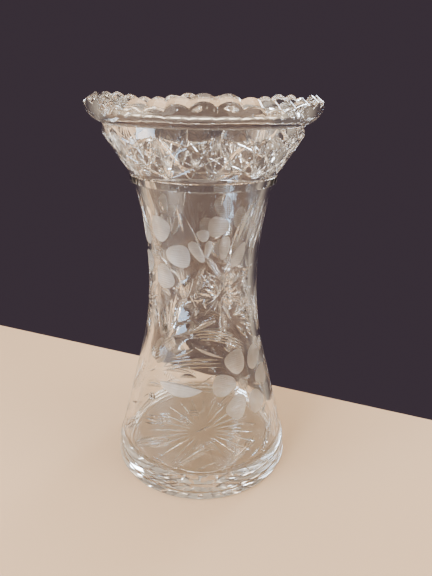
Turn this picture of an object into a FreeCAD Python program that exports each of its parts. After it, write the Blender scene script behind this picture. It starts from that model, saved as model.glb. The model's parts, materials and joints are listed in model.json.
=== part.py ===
"""Cut crystal vase: one blown and cut wall of glass, modelled as its six named zones.

Frame: origin at the centre of the resting face, +Z up, millimetres. The front of the vase faces -Y.
The zones stack on the axis and meet face to face: foot, lower_body, waist, neck_ring, star_band, rim.
"""

import FreeCAD, Part
import math
import os
import Sketcher

from FreeCAD import Placement, Rotation, Vector

DIMENSIONS = {
    # whole vase
    "total_height": 254.0,
    "wall": 5.5,
    # foot: solid floor with a polished edge band and a ray-cut underside
    "foot_radius": 64.0,
    "foot_bevel": 1.2,
    "foot_height": 12.0,
    "foot_band_radius": 62.6,
    "rest_ring_inner": 54.0,
    "base_recess": 0.8,
    "ray_count": 24.0,
    "ray_depth": 1.8,
    "ray_middle": 27.0,
    "ray_spread": 1.0,
    "ray_wheel_radius": 240.0,
    "ray_wheel_sweep": 11.6,
    # lower body and waist: a straight flare that runs into one long arc
    "flare_low_radius": 62.1,
    "flare_top_height": 81.0,
    "body_joint_height": 96.0,
    "waist_radius": 36.7,
    "waist_height": 143.0,
    "waist_curve": 250.0,
    "floor_corner": 5.0,
    # neck ring: a plain collar that stands proud of the neck
    "ring_low_height": 203.0,
    "ring_high_height": 208.0,
    "ring_radius": 46.2,
    "ring_edge": 0.6,
    # star band: a cone with twelve stars between fans
    "band_low_radius": 46.0,
    "band_slope_height": 231.5,
    "band_radius": 61.1,
    "band_top_radius": 60.6,
    "band_top_height": 237.0,
    "star_count": 12.0,
    "star_turn": -7.0,
    "star_low_height": 210.0,
    "star_high_height": 234.0,
    "mitre_depth": 1.6,
    "mitre_spread": 0.65,
    "mitre_least_fall": 0.05,
    "cutter_lift": 3.0,
    # rim: a turned-out lip whose edge is cut in scallops that ride on wider waves
    "rim_root_radius": 59.8,
    "rim_outer_radius": 71.2,
    "rim_inner_radius": 66.2,
    "rim_edge_drop": 3.8,
    "rim_outer_curve": 14.1,
    "rim_bowl_curve": 22.0,
    "throat_radius": 54.6,
    "scallop_count": 36.0,
    "scallop_curve": 9.2,
    "scallop_cutter_length": 28.0,
    "waves": 6.0,
    "wave_height": 3.7,
    "wave_turn": 6.5,
    "rim_uncut_height": 243.5,
}

# a wheel's sweep goes this many times past the ends of its cut
SWEEP_MARGIN = 1.2

document = FreeCAD.newDocument("cut_crystal_vase")
sheet = document.addObject("Spreadsheet::Sheet", "dims")
for row, (alias, dimension) in enumerate(DIMENSIONS.items(), start=1):
    sheet.set(f"A{row}", str(dimension))
    sheet.setAlias(f"A{row}", alias)
document.recompute()


def size(expression):
    """Value of an expression in the sheet's aliases, in millimetres or degrees."""
    value = sheet.evalExpression(expression)
    return float(getattr(value, "Value", value))


def wall_radius(height, inset):
    """Expression for the radius of the waist's long arc at a height; inset 0 is the outer face."""
    centre = "(dims.waist_radius + dims.waist_curve)"
    curve = f"(dims.waist_curve + {inset})"
    return f"{centre} - sqrt({curve}^2 - ({height} - dims.waist_height)^2)"


# ---------------------------------------------------------------- sketches and revolved zones

def origin_plane(body, role):
    """The body's own origin plane or axis with this role."""
    for feature in body.Origin.OriginFeatures:
        if feature.Role == role:
            return feature
    raise ValueError(role)


def new_sketch(body, name, role, offset=None):
    """A sketch on one of the body's origin planes, shifted and turned by the offset."""
    sketch = body.newObject("Sketcher::SketchObject", name)
    sketch.AttachmentSupport = [(origin_plane(body, role), "")]
    sketch.MapMode = "FlatFace"
    if offset is not None:
        sketch.AttachmentOffset = offset
    return sketch


def arc_between(start, end, radius, side):
    """Arc from start to end. Side 1 bulges to the right of that direction, side -1 to the left."""
    chord = end - start
    middle = (start + end) * 0.5
    rise = math.sqrt(radius ** 2 - (chord.Length / 2) ** 2)
    across = Vector(chord.y, -chord.x, 0).normalize() * side
    centre = middle - across * rise
    top = centre + across * radius
    return Part.Arc(start, top, end)


def pin_corner(sketch, line, point, x_expression, y_expression):
    """Fix one corner of the outline to its sheet expressions."""
    axes = (("DistanceX", -2, x_expression), ("DistanceY", -1, y_expression))
    for kind, axis, expression in axes:
        if expression == "0":
            sketch.addConstraint(Sketcher.Constraint("PointOnObject", line, point, axis))
            continue
        index = sketch.addConstraint(Sketcher.Constraint(kind, line, point, size(expression)))
        sketch.setExpression(f"Constraints[{index}]", expression)


def draw_outline(sketch, corners, curves=None):
    """Closed outline through corners given as expressions. Curves maps a side to its radius and bulge."""
    curves = curves or {}
    points = [Vector(size(x), size(y), 0) for x, y in corners]
    count = len(points)
    ends = []
    for side, start in enumerate(points):
        end = points[(side + 1) % count]
        if side not in curves:
            sketch.addGeometry(Part.LineSegment(start, end), False)
            ends.append((1, 2))
            continue
        radius, bulge = curves[side]
        line = sketch.addGeometry(arc_between(start, end, size(radius), bulge), False)
        gaps = [sketch.getPoint(line, point).distanceToPoint(start) for point in (1, 2)]
        ends.append((1, 2) if gaps[0] < gaps[1] else (2, 1))
    for side in range(count):
        following = (side + 1) % count
        join = Sketcher.Constraint("Coincident", side, ends[side][1], following, ends[following][0])
        sketch.addConstraint(join)
    for side, (x, y) in enumerate(corners):
        pin_corner(sketch, side, ends[side][0], x, y)
    for side, (radius, bulge) in curves.items():
        index = sketch.addConstraint(Sketcher.Constraint("Radius", side, size(radius)))
        sketch.setExpression(f"Constraints[{index}]", radius)


def revolved_body(name, corners, curves=None):
    """A zone of the vase: its wall section turned once round the axis."""
    body = document.addObject("PartDesign::Body", name)
    sketch = new_sketch(body, f"{name}_section", "XZ_Plane")
    draw_outline(sketch, corners, curves)
    turn = body.newObject("PartDesign::Revolution", f"{name}_turn")
    turn.Profile = sketch
    turn.ReferenceAxis = (sketch, ["V_Axis"])
    turn.Angle = 360.0
    body.Tip = turn
    document.recompute()
    return body


def mitre_groove(body, name, frame, depth, spread, wheel_radius, sweep):
    """V cut ground by a wheel. The frame's X runs across the cut and its Y points out of the glass."""
    sketch = new_sketch(body, f"{name}_sketch", "XY_Plane", frame)
    half_width = f"{spread} * ({depth} + dims.cutter_lift)"
    corners = [
        ("0", f"-({depth})"),
        (half_width, "dims.cutter_lift"),
        (f"-({half_width})", "dims.cutter_lift"),
    ]
    draw_outline(sketch, corners)
    axle = Part.LineSegment(Vector(-1, size(wheel_radius), 0), Vector(1, size(wheel_radius), 0))
    line = sketch.addGeometry(axle, True)
    sketch.addConstraint(Sketcher.Constraint("Horizontal", line))
    index = sketch.addConstraint(Sketcher.Constraint("DistanceY", line, 1, size(wheel_radius)))
    sketch.setExpression(f"Constraints[{index}]", wheel_radius)
    groove = body.newObject("PartDesign::Groove", name)
    groove.Profile = sketch
    groove.ReferenceAxis = (sketch, ["Axis0"])
    groove.Midplane = True
    groove.Angle = sweep
    body.Tip = groove
    document.recompute()
    return groove


def repeat_round_axis(body, name, features, count):
    """Polar pattern of the features round the vase's axis."""
    pattern = body.newObject("PartDesign::PolarPattern", name)
    pattern.Originals = features
    pattern.Axis = (origin_plane(body, "Z_Axis"), [""])
    pattern.Angle = 360.0
    pattern.Occurrences = int(size(count))
    pattern.setExpression("Occurrences", count)
    body.Tip = pattern
    document.recompute()
    return pattern


# ---------------------------------------------------------------- the zones

def make_foot():
    """Floor of the vase: flat resting ring, shallow recess inside it and rays cut into the recess."""
    corners = [
        ("0", "dims.base_recess"),
        ("dims.rest_ring_inner - dims.base_recess", "dims.base_recess"),
        ("dims.rest_ring_inner", "0"),
        ("dims.foot_radius - dims.foot_bevel", "0"),
        ("dims.foot_radius", "dims.foot_bevel"),
        ("dims.foot_band_radius", "dims.foot_height"),
        ("0", "dims.foot_height"),
    ]
    body = revolved_body("foot", corners)
    # the wheel comes from below, so the frame's Y points down
    facing_down = Rotation(Vector(0, 1, 0), Vector(0, 0, -1), Vector(1, 0, 0), "ZYX")
    frame = Placement(Vector(size("dims.ray_middle"), 0, size("dims.base_recess")), facing_down)
    depth = "(dims.ray_depth - dims.base_recess)"
    sweep = size("dims.ray_wheel_sweep")
    ray = mitre_groove(body, "ray", frame, depth, "dims.ray_spread", "dims.ray_wheel_radius", sweep)
    repeat_round_axis(body, "rays", [ray], "dims.ray_count")
    return body


def make_lower_body():
    """Flared lower wall, from the floor up to the start of the waist."""
    flare_high_radius = wall_radius("dims.flare_top_height", "0")
    flare_rise = "(dims.flare_top_height - dims.foot_height)"
    lean = f"atan((dims.flare_low_radius - ({flare_high_radius})) / {flare_rise})"
    inner_low = f"dims.flare_low_radius - dims.wall / cos({lean})"
    corner_run = f"dims.floor_corner * tan(45 deg + {lean} / 2)"
    corners = [
        (f"{inner_low} - {corner_run}", "dims.foot_height"),
        ("dims.flare_low_radius", "dims.foot_height"),
        (flare_high_radius, "dims.flare_top_height"),
        (wall_radius("dims.body_joint_height", "0"), "dims.body_joint_height"),
        (wall_radius("dims.body_joint_height", "dims.wall"), "dims.body_joint_height"),
        (wall_radius("dims.flare_top_height", "dims.wall"), "dims.flare_top_height"),
        (f"{inner_low} - {corner_run} * sin({lean})", f"dims.foot_height + {corner_run} * cos({lean})"),
    ]
    curves = {
        2: ("dims.waist_curve", -1),
        4: ("dims.waist_curve + dims.wall", 1),
        6: ("dims.floor_corner", 1),
    }
    return revolved_body("lower_body", corners, curves)


def make_waist():
    """Narrow middle of the vase and the plain neck above it."""
    corners = [
        (wall_radius("dims.body_joint_height", "dims.wall"), "dims.body_joint_height"),
        (wall_radius("dims.body_joint_height", "0"), "dims.body_joint_height"),
        (wall_radius("dims.ring_low_height", "0"), "dims.ring_low_height"),
        (wall_radius("dims.ring_low_height", "dims.wall"), "dims.ring_low_height"),
    ]
    curves = {
        1: ("dims.waist_curve", -1),
        3: ("dims.waist_curve + dims.wall", 1),
    }
    return revolved_body("waist", corners, curves)


def make_neck_ring():
    """Plain collar under the star band, with its two edges eased."""
    corners = [
        (wall_radius("dims.ring_low_height", "dims.wall"), "dims.ring_low_height"),
        ("dims.ring_radius - dims.ring_edge", "dims.ring_low_height"),
        ("dims.ring_radius", "dims.ring_low_height + dims.ring_edge"),
        ("dims.ring_radius", "dims.ring_high_height - dims.ring_edge"),
        ("dims.ring_radius - dims.ring_edge", "dims.ring_high_height"),
        (wall_radius("dims.ring_high_height", "dims.wall"), "dims.ring_high_height"),
    ]
    curves = {5: ("dims.waist_curve + dims.wall", 1)}
    return revolved_body("neck_ring", corners, curves)


def band_point(turn, height):
    """Point on the sloping face of the star band, turn in degrees from the front towards +X."""
    low = size("dims.ring_high_height")
    run = (height - low) / (size("dims.band_slope_height") - low)
    radius = size("dims.band_low_radius") + run * size("dims.band_radius - dims.band_low_radius")
    angle = math.radians(turn)
    return Vector(radius * math.sin(angle), -radius * math.cos(angle), height)


def make_star_band():
    """Sloping band with a row of eight-pointed stars: every point is joined to the third one on from it."""
    corners = [
        (wall_radius("dims.ring_high_height", "dims.wall"), "dims.ring_high_height"),
        ("dims.band_low_radius", "dims.ring_high_height"),
        ("dims.band_radius", "dims.band_slope_height"),
        ("dims.band_top_radius", "dims.band_top_height"),
        ("dims.throat_radius", "dims.band_top_height"),
    ]
    body = revolved_body("star_band", corners)
    half_turn = 180.0 / size("dims.star_count")
    low, high = size("dims.star_low_height"), size("dims.star_high_height")
    middle = (low + high) / 2
    # one star: (turn in half cells, height) of its eight points, clockwise from the top
    points = [(0, high), (1, high), (1, middle), (1, low), (0, low), (-1, low), (-1, middle), (-1, high)]
    cuts = []
    for index, (turn, height) in enumerate(points):
        far_turn, far_height = points[(index + 3) % 8]
        start = band_point(size("dims.star_turn") + turn * half_turn, height)
        end = band_point(size("dims.star_turn") + far_turn * half_turn, far_height)
        cuts.append(star_cut(body, f"star_cut_{index + 1}", start, end))
    repeat_round_axis(body, "stars", cuts, "dims.star_count")
    return body


def star_cut(body, name, start, end):
    """One V cut of a star, from point to point, deepest in the middle and running out at both ends."""
    along = (end - start).normalize()
    chord_middle = (start + end) * 0.5
    turn = math.degrees(math.atan2(chord_middle.x, -chord_middle.y))
    touch = band_point(turn, chord_middle.z)
    slope = math.atan2(size("dims.band_radius - dims.band_low_radius"),
                       size("dims.band_slope_height - dims.ring_high_height"))
    angle = math.radians(turn)
    level = Vector(math.sin(angle), -math.cos(angle), 0)
    outward = level * math.cos(slope) - Vector(0, 0, math.sin(slope))
    across = along.cross(outward)
    frame = Placement(touch, Rotation(across, outward, along, "YXZ"))
    swell = (touch - chord_middle).dot(outward)
    reach = (end - start).Length / 2
    # the glass already falls away from a straight cut by its swell, and the wheel gives the rest
    fall = max(size("dims.mitre_depth") - swell, size("dims.mitre_least_fall"))
    wheel = reach ** 2 / (2 * fall)
    sweep = 2 * SWEEP_MARGIN * math.degrees(math.asin(reach / wheel))
    return mitre_groove(body, name, frame, "dims.mitre_depth", "dims.mitre_spread", f"{wheel:.3f}", sweep)


def make_rim():
    """Turned-out lip, its edge ground into arches that rise and fall in wider waves."""
    edge_height = "dims.total_height - dims.rim_edge_drop"
    corners = [
        ("dims.throat_radius", "dims.band_top_height"),
        ("dims.rim_root_radius", "dims.band_top_height"),
        ("dims.rim_outer_radius", edge_height),
        ("dims.rim_inner_radius", "dims.total_height"),
    ]
    curves = {
        1: ("dims.rim_outer_curve", 1),
        3: ("dims.rim_bowl_curve", -1),
    }
    blank = revolved_body("rim_blank", corners, curves)

    below_edge = document.addObject("Part::Cylinder", "rim_below_edge")
    below_edge.setExpression("Radius", "dims.rim_outer_radius + dims.cutter_lift")
    below_edge.setExpression("Height", "dims.rim_uncut_height - dims.band_slope_height")
    below_edge.setExpression(".Placement.Base.z", "dims.band_slope_height")
    arches = [below_edge] + [make_scallop_arch(index) for index in range(int(size("dims.scallop_count")))]
    arch_row = document.addObject("Part::MultiFuse", "rim_arches")
    arch_row.Shapes = arches

    rim = document.addObject("Part::Common", "rim")
    rim.Base = blank
    rim.Tool = arch_row
    document.recompute()
    return rim


def make_scallop_arch(index):
    """Round bar along the slant of the rim's edge. Its top line is the crown of one scallop."""
    step = 360 / size("dims.scallop_count")
    turn = size("dims.wave_turn") + (index + 0.5) * step
    first_crown = size("dims.waves") * step / 2
    wave_angle = math.radians(size("dims.waves") * (turn - size("dims.wave_turn")))
    drop = size("dims.wave_height") * (math.cos(math.radians(first_crown)) - math.cos(wave_angle)) / 2
    # section of the edge, in radius and height: w runs up the slant and inwards, u stands on it
    edge = Vector(size("dims.rim_inner_radius - dims.rim_outer_radius"), 0, size("dims.rim_edge_drop"))
    w = edge.normalize()
    u = Vector(w.z, 0, -w.x)
    edge_middle = Vector(size("(dims.rim_inner_radius + dims.rim_outer_radius) / 2"), 0,
                         size("dims.total_height - dims.rim_edge_drop / 2") - drop)
    start = edge_middle - u * size("dims.scallop_curve") - w * size("dims.scallop_cutter_length / 2")
    round_axis = Rotation(Vector(0, 0, 1), turn - 90)
    bar = document.addObject("Part::Cylinder", f"scallop_arch_{index + 1}")
    bar.setExpression("Radius", "dims.scallop_curve")
    bar.setExpression("Height", "dims.scallop_cutter_length")
    bar.Placement = Placement(round_axis.multVec(start), round_axis.multiply(Rotation(Vector(0, 0, 1), w)))
    return bar


zones = {
    "foot": make_foot(),
    "lower_body": make_lower_body(),
    "waist": make_waist(),
    "neck_ring": make_neck_ring(),
    "star_band": make_star_band(),
    "rim": make_rim(),
}

for label, zone in zones.items():
    zone.Label = label
document.recompute()

for item in document.Objects:
    faults = {"Invalid", "Error"} & set(item.State)
    if faults:
        raise RuntimeError(f"{item.Name} is {faults}")

os.makedirs("parts", exist_ok=True)
for label, zone in zones.items():
    shape = zone.Shape
    if shape.isNull() or not shape.isValid() or len(shape.Solids) != 1:
        raise RuntimeError(f"{label} is not one valid solid")
    box = shape.optimalBoundingBox(False, False)
    print(f"{label}: {shape.Volume:.0f} mm3, height {box.ZMin:.2f} to {box.ZMax:.2f}")
    shape.exportStep(f"parts/{label}.step")
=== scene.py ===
"""Looks of the cut crystal vase: one clear wall of glass, with its stars, fans, leaves and satin flowers.

The profile repeats the sizes of the CAD zones. Lengths are in millimetres until a mesh is made.
Places on the wall are (turn, height): degrees from the front (-Y) towards +X, and millimetres up.
"""

import json
import math

import bpy
from mathutils import Matrix, Vector

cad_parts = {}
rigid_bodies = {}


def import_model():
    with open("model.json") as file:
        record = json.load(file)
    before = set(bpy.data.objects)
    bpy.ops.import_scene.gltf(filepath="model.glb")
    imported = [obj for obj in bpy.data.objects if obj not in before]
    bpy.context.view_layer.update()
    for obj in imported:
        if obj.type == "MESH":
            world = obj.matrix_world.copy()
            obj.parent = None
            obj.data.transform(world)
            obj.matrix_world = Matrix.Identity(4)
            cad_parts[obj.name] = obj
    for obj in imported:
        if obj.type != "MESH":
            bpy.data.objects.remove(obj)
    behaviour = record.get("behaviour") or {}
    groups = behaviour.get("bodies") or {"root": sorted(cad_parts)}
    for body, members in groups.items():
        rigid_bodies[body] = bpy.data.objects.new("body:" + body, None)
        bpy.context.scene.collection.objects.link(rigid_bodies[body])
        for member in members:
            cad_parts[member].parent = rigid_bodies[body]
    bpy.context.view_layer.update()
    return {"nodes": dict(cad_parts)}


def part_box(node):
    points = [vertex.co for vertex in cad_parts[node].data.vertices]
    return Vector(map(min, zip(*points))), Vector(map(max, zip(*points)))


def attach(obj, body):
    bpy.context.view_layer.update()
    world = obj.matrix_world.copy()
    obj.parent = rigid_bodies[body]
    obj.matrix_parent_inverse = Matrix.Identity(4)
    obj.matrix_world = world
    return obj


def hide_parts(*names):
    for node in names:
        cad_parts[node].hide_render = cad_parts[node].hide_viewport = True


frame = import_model()

MM = 0.001


def level(node):
    """Height of a zone's top face."""
    return round(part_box(node)[1].z / MM, 3)


# ---------------------------------------------------------------- the wall's section
FOOT_TOP = level("foot")
RING_LOW = level("waist")
RING_HIGH = level("neck_ring")
BAND_TOP = level("star_band")
TOTAL = level("rim")

WALL = 5.5
FOOT_RADIUS, FOOT_BEVEL, FOOT_BAND_RADIUS = 64.0, 1.2, 62.6
REST_INNER, RECESS = 54.0, 0.8
FLARE_LOW_RADIUS, FLARE_TOP = 62.1, 81.0
WAIST_RADIUS, WAIST_HEIGHT, WAIST_CURVE = 36.7, 143.0, 250.0
FLOOR_CORNER = 5.0
RING_RADIUS, RING_EDGE = 46.2, 0.6
BAND_LOW_RADIUS, BAND_RADIUS, BAND_SLOPE_TOP, BAND_TOP_RADIUS = 46.0, 61.1, 231.5, 60.6

# the lip: two arcs joined by the slanted cut edge
RIM_ROOT_RADIUS, THROAT_RADIUS = 59.8, 54.6
RIM_OUTER_RADIUS, RIM_INNER_RADIUS, RIM_EDGE_DROP = 71.15, 66.2, 3.8
RIM_OUTER_CURVE, RIM_BOWL_CURVE = 14.1, 22.0
EDGE_EASE = 0.3
SCALLOPS, SCALLOP_CURVE = 36, 9.2
WAVES, WAVE_HEIGHT, WAVE_TURN = 6, 3.7, 6.5
COLUMNS_PER_SCALLOP = 8

# steps of the lip's arcs and the floor's corner, and halvings when a crossing is searched for
LIP_STEPS, CORNER_STEPS, HALVINGS = 9, 8, 30

# edges that turn by more degrees than this are shaded sharp
SHARP_ANGLE = 11

# how far every cutter stands above the wall, and a groove's rise at its ends and its steps
CUTTER_LIFT, RUN_OUT = 0.8, 0.12
STEP_LENGTH, FEWEST_STEPS, MOST_STEPS = 2.4, 4, 12

# share of a path between places that give its direction
NUDGE = 0.01

# V cuts as (width, depth)
MIDRIB, BARB, HATCH_LINE, STEM = (1.3, 0.55), (1.0, 0.42), (1.1, 0.5), (1.5, 0.65)
FAN_BLADE, STAR_CUT, HANGING_RAY, STANDING_RAY = (2.4, 1.0), (1.9, 0.9), (1.7, 0.85), (1.9, 0.85)
HATCH_PITCH, BURST_WIDTH = 1.6, 1.9

# feather barbs: their gap from the midrib, and the part of a half wave that their lengths follow
BARB_GAP, BARB_WAVE_START, BARB_WAVE_SPAN = 0.8, 0.12, 0.76

# depth over width of a blade and of a bevelled leaf, and where the leaf's keel lies
MITRE, BEVEL, KEEL = 0.42, 0.2, -0.6
SATIN_LEAF_WIDTH = 9.0

# petals: outline between an ellipse and a rectangle, fuller at the tip, with a flat-bottomed hollow
SQUARENESS, EGG, HOLLOW_POWER, PETAL_SIDES = 2.5, 0.25, 2.5, 28
FLOWER_DEPTH, BUD_DEPTH = 0.9, 0.8

STARS, STAR_TURN, STAR_LOW, STAR_HIGH = 12, -7.0, 210.0, 234.0

# fans between the stars: degrees from ray to ray at the root and at the tip, then the middle ray's
# length. The hanging rays shorten outwards by the last number; the standing ones start below the stars by it.
HANGING_ROOT, HANGING_TIP, HANGING_LENGTH, HANGING_SHORTER = 0.5, 2.7, 13.5, 1.3
STANDING_ROOT, STANDING_TIP, STANDING_LENGTH, STANDING_START = 0.9, 2.8, 8.5, 0.6

# rays under the base, from radius to radius
RAYS, RAY_START, RAY_END, RAY_CUT = 24, 8, 45, (3.0, 0.4)


def arc_radius(height, inset=0.0):
    """Radius of the waist's long arc; an inset moves it into the wall."""
    rise = math.sqrt((WAIST_CURVE + inset) ** 2 - (height - WAIST_HEIGHT) ** 2)
    return WAIST_RADIUS + WAIST_CURVE - rise


def outer_radius(height):
    """Radius of the outer face at a height, from the foot to the top of the star band."""
    if height > BAND_SLOPE_TOP:
        share = (height - BAND_SLOPE_TOP) / (BAND_TOP - BAND_SLOPE_TOP)
        return BAND_RADIUS + share * (BAND_TOP_RADIUS - BAND_RADIUS)
    if height > RING_HIGH:
        share = (height - RING_HIGH) / (BAND_SLOPE_TOP - RING_HIGH)
        return BAND_LOW_RADIUS + share * (BAND_RADIUS - BAND_LOW_RADIUS)
    if height > FLARE_TOP:
        return arc_radius(height)
    share = (height - FOOT_TOP) / (FLARE_TOP - FOOT_TOP)
    return FLARE_LOW_RADIUS + share * (arc_radius(FLARE_TOP) - FLARE_LOW_RADIUS)


def spaced(first, last, pitch):
    """Evenly spaced values from first to last, no further apart than the pitch."""
    count = max(1, math.ceil(abs(last - first) / pitch))
    return [first + (last - first) * index / count for index in range(count + 1)]


def arc_centre(start, end, radius):
    """Centre of the arc from start to end that bulges to the right of that direction."""
    (r0, z0), (r1, z1) = start, end
    chord = math.hypot(r1 - r0, z1 - z0)
    rise = math.sqrt(radius ** 2 - (chord / 2) ** 2)
    return (r0 + r1) / 2 - (z1 - z0) / chord * rise, (z0 + z1) / 2 + (r1 - r0) / chord * rise


EDGE_OUTER = (RIM_OUTER_RADIUS, TOTAL - RIM_EDGE_DROP)
EDGE_INNER = (RIM_INNER_RADIUS, TOTAL)
OUTER_CENTRE = arc_centre((RIM_ROOT_RADIUS, BAND_TOP), EDGE_OUTER, RIM_OUTER_CURVE)
BOWL_CENTRE = arc_centre((THROAT_RADIUS, BAND_TOP), EDGE_INNER, RIM_BOWL_CURVE)


def crown(index):
    """Turn of one scallop's crown, and how far the wave has dropped there."""
    step = 360 / SCALLOPS
    turn = WAVE_TURN + (index + 0.5) * step
    highest = math.cos(math.radians(WAVES * step / 2))
    drop = WAVE_HEIGHT * (highest - math.cos(math.radians(WAVES * (turn - WAVE_TURN)))) / 2
    return turn, drop


def arch_height(radius, turn, index):
    """Height of one scallop's round arch above a point of the plan."""
    centre, drop = crown(index)
    away = math.radians(turn - centre)
    reach, side = radius * math.cos(away), radius * math.sin(away)
    run, rise = RIM_OUTER_RADIUS - RIM_INNER_RADIUS, RIM_EDGE_DROP
    slant = math.hypot(run, rise)
    fall = SCALLOP_CURVE - math.sqrt(SCALLOP_CURVE ** 2 - side ** 2)
    middle_radius, middle_height = RIM_OUTER_RADIUS - run / 2, TOTAL - rise / 2 - drop
    return middle_height - (fall + (reach - middle_radius) * rise / slant) * slant / run


def valley(index):
    """Turn at which scallop number index meets the next one."""
    low, high = crown(index)[0], crown(index + 1)[0]
    radius = (RIM_OUTER_RADIUS + RIM_INNER_RADIUS) / 2
    for _ in range(HALVINGS):
        middle = (low + high) / 2
        if arch_height(radius, middle, index) > arch_height(radius, middle, index + 1):
            low = middle
        else:
            high = middle
    return (low + high) / 2


def arc_end(centre, curve, turn, index):
    """Angle on one of the lip's arcs at which it reaches the scalloped edge."""
    low, high = math.radians(-60), math.radians(20)
    for _ in range(HALVINGS):
        middle = (low + high) / 2
        radius = centre[0] + curve * math.cos(middle)
        height = centre[1] + curve * math.sin(middle)
        if height < arch_height(radius, turn, index):
            low = middle
        else:
            high = middle
    return (low + high) / 2


def arc_tip(centre, curve, turn, index):
    """The sharp corner where an arc of the lip would meet the edge."""
    angle = arc_end(centre, curve, turn, index)
    return centre[0] + curve * math.cos(angle), centre[1] + curve * math.sin(angle)


def lip_rows(turn, index):
    """Section of the lip at one turn, from the band's top round the cut edge to the throat."""
    sides = []
    for centre, curve, start in ((OUTER_CENTRE, RIM_OUTER_CURVE, (RIM_ROOT_RADIUS, BAND_TOP)),
                                 (BOWL_CENTRE, RIM_BOWL_CURVE, (THROAT_RADIUS, BAND_TOP))):
        first = math.atan2(start[1] - centre[1], start[0] - centre[0])
        last = arc_end(centre, curve, turn, index) - EDGE_EASE / curve
        angles = [first + (last - first) * step / LIP_STEPS for step in range(LIP_STEPS + 1)]
        sides.append([(centre[0] + curve * math.cos(a), centre[1] + curve * math.sin(a)) for a in angles])
    outer, bowl = sides
    top = [arc_tip(OUTER_CENTRE, RIM_OUTER_CURVE, turn, index),
           arc_tip(BOWL_CENTRE, RIM_BOWL_CURVE, turn, index)]
    length = math.dist(*top)
    for share in (EDGE_EASE / length, 0.5, 1 - EDGE_EASE / length):
        radius = top[0][0] + share * (top[1][0] - top[0][0])
        outer.append((radius, arch_height(radius, turn, index)))
    return outer + bowl[::-1]


def section(turn, index):
    """Section of the wall at one turn, from the recess under the base, over the rim, to the floor."""
    rows = [(REST_INNER - RECESS, RECESS), (REST_INNER, 0), (FOOT_RADIUS - FOOT_BEVEL, 0),
            (FOOT_RADIUS, FOOT_BEVEL), (FOOT_BAND_RADIUS, FOOT_TOP)]
    rows += [(outer_radius(z), z) for z in spaced(FOOT_TOP, FLARE_TOP, 12)]
    rows += [(arc_radius(z), z) for z in spaced(FLARE_TOP, RING_LOW, 5)[1:]]
    rows += [(RING_RADIUS - RING_EDGE, RING_LOW), (RING_RADIUS, RING_LOW + RING_EDGE),
             (RING_RADIUS, RING_HIGH - RING_EDGE), (RING_RADIUS - RING_EDGE, RING_HIGH)]
    rows += [(outer_radius(z), z) for z in spaced(RING_HIGH + 0.001, BAND_SLOPE_TOP, 6)]
    rows += [(BAND_TOP_RADIUS, BAND_TOP)]
    rows += lip_rows(turn, index)
    rows += [(arc_radius(z, WALL), z) for z in spaced(RING_HIGH, FLARE_TOP, 6)]
    lean = math.atan((FLARE_LOW_RADIUS - arc_radius(FLARE_TOP)) / (FLARE_TOP - FOOT_TOP))
    foot_inner = FLARE_LOW_RADIUS - WALL / math.cos(lean)
    corner = FLOOR_CORNER * math.tan(math.radians(45) + lean / 2)
    top, low = arc_radius(FLARE_TOP, WALL), foot_inner - corner * math.sin(lean)
    straight_end = FOOT_TOP + corner * math.cos(lean)
    for z in spaced(FLARE_TOP, straight_end, 12)[1:]:
        rows.append((low + (z - straight_end) / (FLARE_TOP - straight_end) * (top - low), z))
    for step in range(1, CORNER_STEPS + 1):
        angle = -lean - (math.pi / 2 - lean) * step / CORNER_STEPS
        rows.append((foot_inner - corner + FLOOR_CORNER * math.cos(angle),
                     FOOT_TOP + FLOOR_CORNER * (1 + math.sin(angle))))
    return rows


# ---------------------------------------------------------------- meshes

def new_object(name, points, faces, material, collection=None):
    """A mesh object from points in millimetres."""
    mesh = bpy.data.meshes.new(name)
    mesh.from_pydata([Vector(point) * MM for point in points], [], faces)
    mesh.materials.append(material)
    piece = bpy.data.objects.new(name, mesh)
    (collection or bpy.context.scene.collection).objects.link(piece)
    return piece


def place(radius, turn, height):
    """Point at a radius, a turn from the front and a height."""
    angle = math.radians(turn)
    return Vector((radius * math.sin(angle), -radius * math.cos(angle), height))


def glass_blank(material):
    """The vase before the wheel touches its wall: the section carried once round."""
    columns = []
    for index in range(SCALLOPS):
        start, end = valley(index - 1), valley(index)
        for step in range(COLUMNS_PER_SCALLOP):
            turn = start + (end - start) * step / COLUMNS_PER_SCALLOP
            columns.append([place(radius, turn, height) for radius, height in section(turn, index)])
    count, rows = len(columns), len(columns[0])
    points = [point for column in columns for point in column]
    base, floor = len(points), len(points) + 1
    points += [Vector((0, 0, RECESS)), Vector((0, 0, FOOT_TOP))]
    faces = []
    for column in range(count):
        here, there = column * rows, (column + 1) % count * rows
        faces += [(here + row, there + row, there + row + 1, here + row + 1) for row in range(rows - 1)]
        faces.append((base, there, here))
        faces.append((floor, here + rows - 1, there + rows - 1))
    return new_object("vase_crystal", points, faces, material)


# ---------------------------------------------------------------- cutters

def outer_face(turn, height, lift=0.0):
    """Point on the outer face, or above it along the face's normal."""
    slope = outer_radius(height + 0.5) - outer_radius(height - 0.5)
    length = math.hypot(1, slope)
    return place(outer_radius(height) + lift / length, turn, height - lift * slope / length)


def under_face(turn, radius, lift=0.0):
    """Point on the recessed base, or below it."""
    return place(radius, turn, RECESS - lift)


def along(path, share):
    """Point of a path of two places, or of a bend through a middle one."""
    if len(path) == 2:
        return [a + (b - a) * share for a, b in zip(*path)]
    start, middle, end = path
    return [(1 - share) ** 2 * a + 2 * share * (1 - share) * b + share ** 2 * c
            for a, b, c in zip(start, middle, end)]


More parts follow.
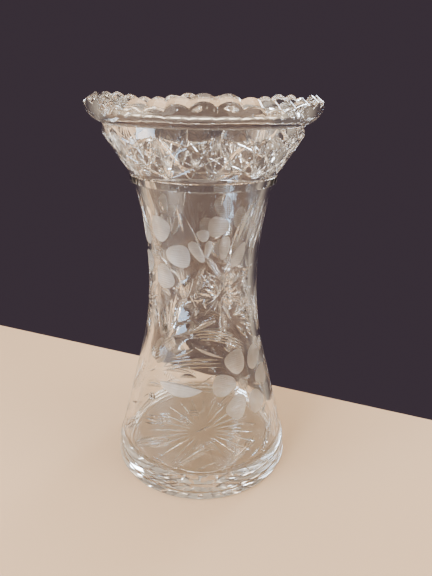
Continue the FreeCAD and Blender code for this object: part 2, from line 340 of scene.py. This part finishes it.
def groove(path, width, depth, face=outer_face, keel=0.0, power=1):
    """Cutter along a path: a V wheel, or with power 2 a round one, running out to a point at both ends.

    The keel is the place of the V's bottom between its left edge, -1, and its right edge, 1.
    """
    if power == 1:
        rim = ((-1, 0), (keel, 1), (1, 0))
    else:
        rim = [(side, 1 - abs(side) ** power) for side in (-1, -0.65, -0.3, 0, 0.3, 0.65, 1)]
    length = (face(*path[-1]) - face(*path[0])).length
    steps = min(MOST_STEPS, max(FEWEST_STEPS, round(length / STEP_LENGTH)))
    points = []
    for step in range(steps + 1):
        share = step / steps
        turn, height = along(path, share)
        foot = face(turn, height)
        normal = (face(turn, height, 1.0) - foot).normalized()
        forward = face(*along(path, share + NUDGE)) - face(*along(path, share - NUDGE))
        across = forward.cross(normal).normalized()
        fade = 1 - (2 * share - 1) ** 2
        reach = CUTTER_LIFT - RUN_OUT + (depth + RUN_OUT) * fade ** power
        half = width / 2 * (reach / depth) ** (1 / power)
        for side, share_deep in rim:
            points.append(foot + normal * (CUTTER_LIFT - reach * share_deep) + across * half * side)
    count = len(rim)
    last = steps * count
    faces = [tuple(range(count)), tuple(last + side for side in reversed(range(count)))]
    for step in range(steps):
        near, far = step * count, step * count + count
        for side in range(count):
            after = (side + 1) % count
            faces.append((near + after, near + side, far + side, far + after))
    return points, faces


def hollow(path, width, depth):
    """Leaf cut by a wheel with a round rim."""
    return groove(path, width, depth, power=2)


def petal(centre, length, width, lean, depth):
    """Shallow hollow with a rounded outline, as a broad stone wheel grinds it."""
    rings = (1.1, 1.0, 0.92, 0.8, 0.6, 0.3)
    turn, height = centre
    tilt = math.radians(lean)

    def spot(share, step, lift):
        angle = 2 * math.pi * step / PETAL_SIDES
        ahead, aside = math.cos(angle), math.sin(angle)
        square = (abs(ahead) ** SQUARENESS + abs(aside) ** SQUARENESS) ** (-1 / SQUARENESS)
        forward = share * square * length / 2 * ahead
        side = share * square * width / 2 * aside * (1 + EGG * ahead)
        right = forward * math.cos(tilt) - side * math.sin(tilt)
        up = forward * math.sin(tilt) + side * math.cos(tilt)
        return outer_face(turn + math.degrees(right / outer_radius(height + up)), height + up, lift)

    steps = range(PETAL_SIDES)
    points = [spot(share, step, -depth * (1 - share ** HOLLOW_POWER)) for share in rings for step in steps]
    points += [spot(share, step, CUTTER_LIFT) for share in rings for step in steps]
    points += [spot(0, 0, -depth), spot(0, 0, CUTTER_LIFT)]
    floor, lid = len(points) - 2, len(points) - 1
    top = len(rings) * PETAL_SIDES
    last = top - PETAL_SIDES
    faces = []
    for step in steps:
        after = (step + 1) % PETAL_SIDES
        for low in range(0, last, PETAL_SIDES):
            high = low + PETAL_SIDES
            faces.append((low + after, low + step, high + step, high + after))
            faces.append((top + low + step, top + low + after, top + high + after, top + high + step))
        faces.append((last + after, last + step, floor))
        faces.append((top + last + step, top + last + after, lid))
        faces.append((step, after, top + after, top + step))
    return points, faces


def shifted(spot, length, lean):
    """Place a length away along the wall, lean in degrees anticlockwise from level."""
    turn, height = spot
    up = length * math.sin(math.radians(lean))
    right = length * math.cos(math.radians(lean))
    return turn + math.degrees(right / outer_radius(height + up)), height + up


def heading(path, share):
    """Direction of a path on the wall at a share of its length, in degrees from level."""
    (turn0, height0), (turn1, height1) = along(path, share - 2 * NUDGE), along(path, share + 2 * NUDGE)
    right = math.radians(turn1 - turn0) * outer_radius((height0 + height1) / 2)
    return math.degrees(math.atan2(height1 - height0, right))


def feather(path, barbs, length, lean):
    """Feather leaf: a midrib with fine slanted cuts along both sides, the longest half way."""
    cuts = [groove(path, *MIDRIB)]
    for index in range(barbs):
        share = (index + 0.5) / barbs
        root, ahead = along(path, share), heading(path, share)
        reach = length * math.sin(math.pi * (BARB_WAVE_START + BARB_WAVE_SPAN * share))
        for side in (-lean, lean):
            start = shifted(root, BARB_GAP, ahead + side)
            cuts.append(groove((start, shifted(start, reach, ahead + side)), *BARB))
    return cuts


def hatch(centre, across, lean, lines):
    """Patch of fine parallel cuts, the longest in its middle."""
    cuts = []
    for index in range(lines):
        offset = (index - (lines - 1) / 2) * HATCH_PITCH
        half = across / 2 * math.sqrt(1 - (2 * offset / (lines * HATCH_PITCH)) ** 2)
        middle = shifted(centre, offset, lean + 90)
        cuts.append(groove((shifted(middle, -half, lean), shifted(middle, half, lean)), *HATCH_LINE))
    return cuts


def cross_hatch(centre, across, lean, lines):
    """Two patches of fine cuts that cross almost squarely."""
    return hatch(centre, across, lean, lines) + hatch(centre, across, lean + 85, lines)


def burst(centre, inner, lengths):
    """Slim blades all round a centre, pointing away from it, each with its own length."""
    cuts = []
    for index, length in enumerate(lengths):
        lean = 360 * index / len(lengths)
        path = (shifted(centre, inner, lean), shifted(centre, inner + length, lean))
        cuts.append(groove(path, BURST_WIDTH, MITRE * BURST_WIDTH))
    return cuts


def fan(root, start, tips):
    """Slim blades that spread from a root to their tips; start is the share of each left uncut."""
    return [groove((along((root, tip), start), tip), *FAN_BLADE) for tip in tips]


def bundle(path, count, pitch):
    """Stems side by side, each a pitch below the one before."""
    return [groove([(turn, height - pitch * index) for turn, height in path], *STEM)
            for index in range(count)]


def flower(centre, reach, petals, first, length, width):
    """Ring of satin petals round a centre."""
    leans = [first + 360 * index / petals for index in range(petals)]
    return [petal(shifted(centre, reach, lean), length, width, lean, FLOWER_DEPTH) for lean in leans]


def turned(spots, shift):
    """The same places, shifted round the wall."""
    return [(turn + shift, height) for turn, height in spots]


def blades(shift, shapes):
    """V cuts, each given as a path and a width, as deep as the wheel's angle makes them."""
    return [groove(turned(path, shift), width, MITRE * width) for path, width in shapes]


def upper_flower(shift):
    """Five broad petals round a hatched eye, with a stem. Returns the satin cuts and the polished cuts."""
    middle, = turned([(-47, 163)], shift)
    satin = flower(middle, reach=16, petals=5, first=0, length=16, width=14)
    eye = hatch(middle, across=13, lean=0, lines=7) + hatch(middle, across=10, lean=70, lines=6)
    stem = groove(turned([(-45, 161), (-28, 154)], shift), width=1.4, depth=0.6)
    return satin, eye + [stem]


def bud_spray(shift):
    """Single petals, buds and a satin leaf high on the waist, with long blades beside them."""
    satin = [petal(*turned([spot], shift), *shape, BUD_DEPTH) for spot, *shape in (
        ((14.7, 182.5), 12.5, 12, 180),
        ((1.5, 177), 7.4, 7, 100),
        ((-4, 166.5), 15, 6.2, 122),
        ((6, 168.5), 11, 4, 80),
        ((20.8, 168.7), 15, 6.5, 85),
    )]
    satin.append(hollow(turned([(28.5, 155), (36, 161), (44, 172)], shift), width=10, depth=1.3))
    satin += blades(shift, (
        (((33, 170), (38, 184), (47, 198)), 2.8),
        (((44, 167), (49, 182), (57, 199)), 3.4),
    ))
    return satin, blades(shift, (
        (((26, 164), (31, 179), (42, 193)), 1.8),
        (((38, 171), (43, 185), (52, 200)), 2.4),
        (((48, 163), (55, 178), (64, 196)), 3.6),
        (((53, 158), (61, 170), (69, 188)), 2.6),
        (((-72, 197), (-64, 187), (-59, 174)), 3.2),
        (((-20, 194.5), (-15.4, 178)), 1.8),
        (((-36, 198), (-32, 189.5)), 2.0),
        (((-13, 188), (5, 161)), 1.2),
    ))


def low_flower(shift):
    """Six petals round a cross-hatched eye, low on the body, with the leaves that reach to its left."""
    middle, = turned([(42, 75)], shift)
    satin = flower(middle, reach=17, petals=6, first=-7, length=16.5, width=14)
    leaf = turned([(-38, 75), (-18, 71), (3, 74)], shift)
    satin.append(groove(leaf, SATIN_LEAF_WIDTH, SATIN_LEAF_WIDTH * BEVEL, keel=KEEL))
    polished = [hollow(turned(path, shift), width, depth) for path, width, depth in (
        (((-19, 82), (-12, 86), (-2, 83)), 3, 0.7),
        (((24, 69.5), (29, 71.5), (35, 73.5)), 2.2, 0.6),
    )]
    polished += [groove(turned(path, shift), width, 0.6) for path, width in (
        (((12, 64), (33, 76)), 1.6),
        (((33, 75), (47, 79)), 1.4),
        (((0, 79), (13, 85.5)), 1.4),
        (((13, 85.5), (33, 77)), 1.6),
        (((48, 72), (66, 65)), 1.8),
        (((33, 49), (46, 43)), 1.4),
        (((14, 45), (30, 47)), 1.2),
    )]
    polished += bundle(turned([(-38, 87), (-10, 99), (21, 94)], shift), count=3, pitch=2.4)
    polished += bundle(turned([(-47, 43), (-24, 49.5)], shift), count=3, pitch=-2.6)
    for spot, across, lean, lines in (((38, 75), 15, 25, 5), ((15.5, 64.5), 4, 45, 3), ((-42, 63), 8, 20, 4)):
        polished += cross_hatch(*turned([spot], shift), across, lean, lines)
    for spot, across, lean, lines in (((-25, 81), 6, 78, 8), ((-5, 60), 12, 5, 3), ((-11, 55), 8, 35, 5)):
        polished += hatch(*turned([spot], shift), across, lean, lines)
    return satin, polished


def leaf_spray(shift):
    """Dense leaves round the narrowest part of the waist."""
    cuts = [groove(turned(path, shift), width, width * BEVEL, keel=KEEL) for path, width in (
        (((-22, 118), (-14, 127), (-3, 134)), 10),
        (((-24, 109), (-17, 115), (-9, 118)), 5.5),
        (((-21, 99), (-10, 106), (3, 108.5)), 7),
    )]
    cuts += blades(shift, (
        (((-27, 141), (-17, 145), (-8, 151)), 4.0),
        (((-6, 103.5), (6, 101), (22, 95)), 3.0),
        (((-6, 102.5), (-17, 97), (-28, 94)), 2.0),
        (((-4.5, 140), (-3, 146), (0, 153)), 2.6),
        (((8.5, 154), (7.5, 149), (5.5, 142)), 2.0),
        (((20.5, 154), (21, 147), (23, 141.5)), 2.8),
        (((26, 143), (33, 146), (43, 152.5)), 2.8),
        (((41, 141.5), (46, 143), (54, 146)), 2.4),
        (((40, 154), (50, 150), (62, 154)), 2.6),
        (((24.5, 136.5), (28, 135), (32, 130)), 3.0),
        (((49, 113), (53, 108), (60, 102)), 3.4),
        (((21, 103.5), (25, 101), (28.5, 98)), 2.4),
        (((30.5, 152), (37, 147.5)), 1.8),
        (((24, 137), (39, 143)), 2.0),
        (((-1, 131), (5, 140)), 2.2),
        (((-11, 139), (-5, 130)), 2.2),
        (((-10, 121), (-6, 129)), 1.8),
        (((-5.5, 122.5), (-1, 129)), 1.8),
        (((1, 137), (5, 129)), 1.8),
    ))
    left_tips = [(-46, 124), (-41, 129), (-36, 132), (-30, 135), (-24.5, 139), (-20, 133), (-24, 120)]
    right_tips = [(60, 130), (62, 124), (62, 117), (60, 110), (50, 104)]
    cuts += fan(*turned([(-35, 102)], shift), start=0.22, tips=turned(left_tips, shift))
    cuts += fan(*turned([(30, 121)], shift), start=0.3, tips=turned(right_tips, shift))
    lengths = (16, 9, 13, 18, 8, 12, 17, 9, 14, 19, 10, 15, 8, 13, 20, 9, 12)
    cuts += burst(*turned([(17, 137.5)], shift), inner=1.8, lengths=lengths)
    cuts += bundle(turned([(-9, 112), (12, 121), (48, 99)], shift), count=4, pitch=1.9)
    for path, barbs in (
            (((-12, 112), (-3, 119), (12, 122)), 12),
            (((-36, 104), (-33, 118), (-22, 134)), 14),
            (((20, 128), (22, 122), (21, 112)), 9),
            (((34, 120), (42, 131), (56, 138)), 13),
            (((-60, 134), (-52, 124), (-46, 108)), 14),
            (((-8, 129), (-2, 141), (5, 150)), 10)):
        cuts += feather(turned(path, shift), barbs, length=4.5, lean=38)
    for spot, across, lean, lines in (
            ((27.5, 149), 9, 42, 6), ((27, 139), 8, 35, 4), ((46.5, 147), 9, -35, 5),
            ((30, 104), 9, 45, 5), ((-31, 103), 12, 40, 6), ((-47, 93), 12, 45, 6)):
        cuts += cross_hatch(*turned([spot], shift), across, lean, lines)
    return [], cuts


def neck_spray(shift):
    """Feather leaves and blades that fill the side of the neck the photo does not show."""
    cuts = blades(shift, (
        (((97, 160), (98, 194)), 2.8),
        (((84, 162), (78, 190)), 2.2),
        (((111, 162), (117, 190)), 2.2),
    ))
    for path in (((96, 160), (88, 172), (86, 192)), ((99, 160), (107, 172), (109, 192))):
        cuts += feather(turned(path, shift), barbs=13, length=4.5, lean=40)
    return [], cuts


def side_spray(shift):
    """Feather leaves between the two low flowers."""
    cuts = [groove(turned([(96, 52), (98, 88)], shift), *STEM)]
    for path, barbs in ((((96, 50), (84, 62), (76, 82)), 13), (((97, 50), (110, 62), (118, 82)), 13),
                        (((97, 62), (93, 76), (98, 92)), 12)):
        cuts += feather(turned(path, shift), barbs, length=6, lean=42)
    return [], cuts


def foot_spray(shift):
    """Leaves and fine lines that fill the wall above the foot."""
    cuts = []
    for path, barbs in ((((-52, 22), (-40, 34), (-22, 38)), 14), (((-18, 20), (-8, 32), (10, 40)), 14),
                        (((14, 19), (24, 30), (40, 34)), 13), (((46, 20), (54, 32), (66, 40)), 12)):
        cuts += feather(turned(path, shift), barbs, length=6, lean=40)
    cuts += blades(shift, (
        (((-34, 24), (-20, 22)), 1.6),
        (((-4, 47), (10, 52)), 1.8),
        (((-2, 22), (12, 27)), 1.6),
        (((34, 22), (46, 27)), 1.6),
        (((50, 46), (62, 52)), 1.8),
    ))
    for spot, across, lean, lines in (((-30, 50), 9, 30, 5), ((26, 41), 10, 50, 5)):
        cuts += cross_hatch(*turned([spot], shift), across, lean, lines)
    return [], cuts


def spray_cuts():
    """The engraving all round. Returns the satin cuts and the polished cuts."""
    satin, polished = [], []
    for motif, shifts in (
            (upper_flower, (0, 197)), (bud_spray, (0, 222)), (low_flower, (0, 180)), (side_spray, (0, 180)),
            (foot_spray, (0, 120, 240)), (leaf_spray, (0, 120, 240)), (neck_spray, (0,))):
        for shift in shifts:
            matt, bright = motif(shift)
            satin += matt
            polished += bright
    return satin, polished


def star_band_cuts():
    """Stars with every point joined to the third one on, and fans that hang and stand between them."""
    half = 180 / STARS
    middle = (STAR_LOW + STAR_HIGH) / 2
    star = [(0, STAR_HIGH), (1, STAR_HIGH), (1, middle), (1, STAR_LOW),
            (0, STAR_LOW), (-1, STAR_LOW), (-1, middle), (-1, STAR_HIGH)]
    cuts = []
    for number in range(STARS):
        centre = STAR_TURN + 2 * half * number
        points = [(centre + side * half, height) for side, height in star]
        for index in range(8):
            cuts.append(groove((points[index], points[(index + 3) % 8]), *STAR_CUT))
        corner = centre + half
        for ray in range(-3, 4):
            low = (corner + ray * HANGING_TIP, STAR_HIGH - HANGING_LENGTH + HANGING_SHORTER * abs(ray))
            cuts.append(groove(((corner + ray * HANGING_ROOT, STAR_HIGH), low), *HANGING_RAY))
        for ray in range(-2, 3):
            root = (corner + ray * STANDING_ROOT, STAR_LOW - STANDING_START)
            high = (corner + ray * STANDING_TIP, STAR_LOW + STANDING_LENGTH - abs(ray))
            cuts.append(groove((root, high), *STANDING_RAY))
    return cuts


def base_rays():
    """Long rays cut into the underside."""
    turns = [360 * index / RAYS for index in range(RAYS)]
    return [groove(((turn, RAY_START), (turn, RAY_END)), *RAY_CUT, under_face) for turn in turns]


def cut_glass(blank, groups):
    """Take every cutter out of the blank. A cut face keeps its cutter's material."""
    tools = bpy.data.collections.new("wheels")
    bpy.context.scene.collection.children.link(tools)
    for material, cutters in groups:
        for points, faces in cutters:
            new_object("wheel", points, faces, material, tools)
    cut = blank.modifiers.new("cuts", "BOOLEAN")
    cut.operation = "DIFFERENCE"
    cut.solver = "MANIFOLD"
    cut.operand_type = "COLLECTION"
    cut.collection = tools
    cut.material_mode = "TRANSFER"
    graph = bpy.context.evaluated_depsgraph_get()
    mesh = bpy.data.meshes.new_from_object(blank.evaluated_get(graph))
    blank.modifiers.clear()
    blank.data = mesh
    for tool in list(tools.objects):
        bpy.data.objects.remove(tool)
    bpy.data.collections.remove(tools)
    mesh.shade_smooth()
    mesh.set_sharp_from_angle(angle=math.radians(SHARP_ANGLE))
    sharpen_outlines(mesh)
    return blank


def sharpen_outlines(mesh):
    """Keep the edge crisp wherever two materials meet, since a wheel leaves no rounding."""
    first = {}
    outlines = set()
    for face in mesh.polygons:
        for key in face.edge_keys:
            if first.setdefault(key, face.material_index) != face.material_index:
                outlines.add(key)
    for edge in mesh.edges:
        if edge.key in outlines:
            edge.use_edge_sharp = True


# ---------------------------------------------------------------- materials
GLASS_COLOUR, LEAD_CRYSTAL_IOR = (0.97, 0.97, 0.96, 1), 1.545
STONE_DARK, STONE_LIGHT = (0.80, 0.74, 0.67, 1), (1, 0.97, 0.92, 1)


def glass_material(name, transmission, roughness):
    """Principled glass with its numbers on the shader's own sockets."""
    material = bpy.data.materials.new(name)
    material.use_nodes = True
    shader = material.node_tree.nodes["Principled BSDF"]
    shader.inputs["Base Color"].default_value = GLASS_COLOUR
    shader.inputs["Transmission Weight"].default_value = transmission
    shader.inputs["Roughness"].default_value = roughness
    shader.inputs["IOR"].default_value = LEAD_CRYSTAL_IOR
    return material, shader


def textured(material, shader, kind, scale, distance):
    """Relief of a procedural texture in the object's own coordinates. Returns the texture node."""
    nodes, links = material.node_tree.nodes, material.node_tree.links
    where = nodes.new("ShaderNodeTexCoord")
    texture = nodes.new(kind)
    texture.inputs["Scale"].default_value = scale
    bump = nodes.new("ShaderNodeBump")
    bump.inputs["Distance"].default_value = distance
    links.new(where.outputs["Object"], texture.inputs["Vector"])
    links.new(texture.outputs["Fac"], bump.inputs["Height"])
    links.new(bump.outputs["Normal"], shader.inputs["Normal"])
    return texture


def crystal_material():
    """Clear fire-polished glass with a faint waviness."""
    material, shader = glass_material("crystal_clear", transmission=1.0, roughness=0.0)
    textured(material, shader, "ShaderNodeTexNoise", scale=45, distance=0.0001)
    return material


def cut_material():
    """Polished cuts, with the finer unevenness that polishing leaves."""
    material, shader = glass_material("crystal_cut", transmission=1.0, roughness=0.02)
    textured(material, shader, "ShaderNodeTexNoise", scale=300, distance=0.00003)
    return material


def satin_material():
    """Matt stone-ground glass with fine level stone lines and a cloudy tone."""
    material, shader = glass_material("crystal_satin", transmission=0.85, roughness=0.4)
    stone = textured(material, shader, "ShaderNodeTexWave", scale=220, distance=0.00012)
    stone.bands_direction = "Z"
    stone.inputs["Distortion"].default_value = 1.5
    stone.inputs["Detail Scale"].default_value = 0.3
    nodes, links = material.node_tree.nodes, material.node_tree.links
    clouds = nodes.new("ShaderNodeTexNoise")
    clouds.inputs["Scale"].default_value = 130
    tone = nodes.new("ShaderNodeValToRGB")
    dark, light = tone.color_ramp.elements
    dark.position, dark.color = 0.35, STONE_DARK
    light.position, light.color = 0.65, STONE_LIGHT
    links.new(stone.inputs["Vector"].links[0].from_socket, clouds.inputs["Vector"])
    links.new(clouds.outputs["Fac"], tone.inputs["Fac"])
    links.new(tone.outputs["Color"], shader.inputs["Base Color"])
    return material


# ---------------------------------------------------------------- stage
FLOOR_COLOUR = (0.76, 0.55, 0.37, 1)

# the table top: its edges, how far it lies below the vase so that no faces coincide, and its turn
FLOOR_FRONT, FLOOR_BACK, FLOOR_SIDE, FLOOR_DROP, FLOOR_TURN = -900, 92, 700, 0.05, -20.3

# the studio: dark behind the vase, bright above and on every other side
BACKDROP_COLOUR, STUDIO_COLOUR = (0.060, 0.045, 0.058, 1), (0.66, 0.56, 0.45, 1)
CEILING_START, CEILING_END, CEILING_SHARE = 0.25, 0.80, 1.0
SIDE_START, SIDE_END, SIDE_SHARE = 0.55, 0.95, 0.68

LENS = 29.69
CAMERA_PLACE = (0.00903, -0.30568, TOTAL * MM)
CAMERA_LOOKS_DOWN, CAMERA_ROLL = 22.32, 1.03


def make_floor():
    """Plain pale table top whose far edge runs slantwise behind the vase."""
    material = bpy.data.materials.new("floor_pale")
    material.use_nodes = True
    shader = material.node_tree.nodes["Principled BSDF"]
    shader.inputs["Base Color"].default_value = FLOOR_COLOUR
    shader.inputs["Roughness"].default_value = 0.6
    turn = Matrix.Rotation(math.radians(FLOOR_TURN), 3, "Z")
    outline = ((-FLOOR_SIDE, FLOOR_FRONT), (FLOOR_SIDE, FLOOR_FRONT),
               (FLOOR_SIDE, FLOOR_BACK), (-FLOOR_SIDE, FLOOR_BACK))
    corners = [turn @ Vector((right, back, -FLOOR_DROP)) for right, back in outline]
    new_object("floor", corners, [(0, 1, 2, 3)], material)


def make_studio():
    """World that is dark behind the vase, with a bright ceiling and bright other sides."""
    world = bpy.data.worlds.new("studio")
    bpy.context.scene.world = world
    world.use_nodes = True
    nodes, links = world.node_tree.nodes, world.node_tree.links
    where = nodes.new("ShaderNodeTexCoord")
    axes = nodes.new("ShaderNodeSeparateXYZ")
    links.new(where.outputs["Generated"], axes.inputs["Vector"])
    round_about = nodes.new("ShaderNodeMath")
    round_about.operation = "ARCTAN2"
    links.new(axes.outputs["X"], round_about.inputs[0])
    links.new(axes.outputs["Y"], round_about.inputs[1])
    aside = nodes.new("ShaderNodeMath")
    aside.operation = "ABSOLUTE"
    links.new(round_about.outputs["Value"], aside.inputs[0])
    lit = nodes.new("ShaderNodeMath")
    lit.operation = "MAXIMUM"
    for number, (source, dark_end, bright_end, most) in enumerate((
            (axes.outputs["Z"], CEILING_START, CEILING_END, CEILING_SHARE),
            (aside.outputs["Value"], SIDE_START, SIDE_END, SIDE_SHARE))):
        reach = nodes.new("ShaderNodeMapRange")
        reach.inputs["From Min"].default_value = dark_end
        reach.inputs["From Max"].default_value = bright_end
        reach.inputs["To Max"].default_value = most
        links.new(source, reach.inputs["Value"])
        links.new(reach.outputs["Result"], lit.inputs[number])
    ramp = nodes.new("ShaderNodeValToRGB")
    ramp.color_ramp.elements[0].color = BACKDROP_COLOUR
    ramp.color_ramp.elements[1].color = STUDIO_COLOUR
    links.new(lit.outputs["Value"], ramp.inputs["Fac"])
    links.new(ramp.outputs["Color"], nodes["Background"].inputs["Color"])


def softbox(name, position, target, width, height, power, colour):
    """Rectangular light that faces a target point. Places and sizes are in metres."""
    light = bpy.data.lights.new(name, "AREA")
    light.shape = "RECTANGLE"
    light.size = width
    light.size_y = height
    light.energy = power
    light.color = colour
    lamp = bpy.data.objects.new(name, light)
    direction = Vector(target) - Vector(position)
    facing = direction.to_track_quat("-Z", "Y").to_matrix().to_4x4()
    lamp.matrix_world = Matrix.Translation(position) @ facing
    lamp.visible_camera = False
    bpy.context.scene.collection.objects.link(lamp)


def make_lights():
    """Soft lights from both sides and above, and three cool windows that show as highlights."""
    target = (0, 0, 0.12)
    warm, white = (1.0, 0.78, 0.58), (1.0, 0.91, 0.80)
    cool, blue = (0.78, 0.89, 1.0), (0.55, 0.75, 1.0)
    for name, position, width, height, power, colour in (
        ("soft_left", (-1.1, -0.5, 0.9), 1.2, 1.1, 9, warm),
        ("soft_right", (1.1, -0.4, 0.7), 0.9, 1.2, 8, white),
        ("soft_top", (0, 0.2, 1.5), 1.0, 1.0, 6, white),
        ("window_front", (-0.68, -0.85, 0.68), 0.40, 0.50, 8, cool),
        ("window_left", (-1.06, -0.56, 0.31), 0.50, 0.50, 11, blue),
        ("window_back", (0.7, 0.9, 0.7), 0.3, 0.4, 4, cool),
    ):
        softbox(name, position, target, width, height, power, colour)


def make_camera():
    """Camera at the height of the rim, looking down at the vase."""
    data = bpy.data.cameras.new("camera")
    data.sensor_width = 36
    data.lens = LENS
    camera = bpy.data.objects.new("camera", data)
    tilt, roll = math.radians(90 - CAMERA_LOOKS_DOWN), math.radians(CAMERA_ROLL)
    camera.matrix_world = (Matrix.Translation(CAMERA_PLACE)
                           @ Matrix.Rotation(tilt, 4, "X") @ Matrix.Rotation(roll, 4, "Z"))
    bpy.context.scene.collection.objects.link(camera)
    bpy.context.scene.camera = camera


def main():
    crystal, cut, satin = crystal_material(), cut_material(), satin_material()
    blank = glass_blank(crystal)
    matt, bright = spray_cuts()
    vase = cut_glass(blank, [(satin, matt), (cut, bright + star_band_cuts() + base_rays())])
    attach(vase, "root")
    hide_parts(*sorted(frame["nodes"]))

    make_camera()
    make_lights()
    make_floor()
    make_studio()
    bpy.context.scene.view_settings.look = "AgX - Medium High Contrast"
    cycles = bpy.context.scene.cycles
    cycles.max_bounces = 32
    cycles.transmission_bounces = 32
    cycles.glossy_bounces = 16


main()
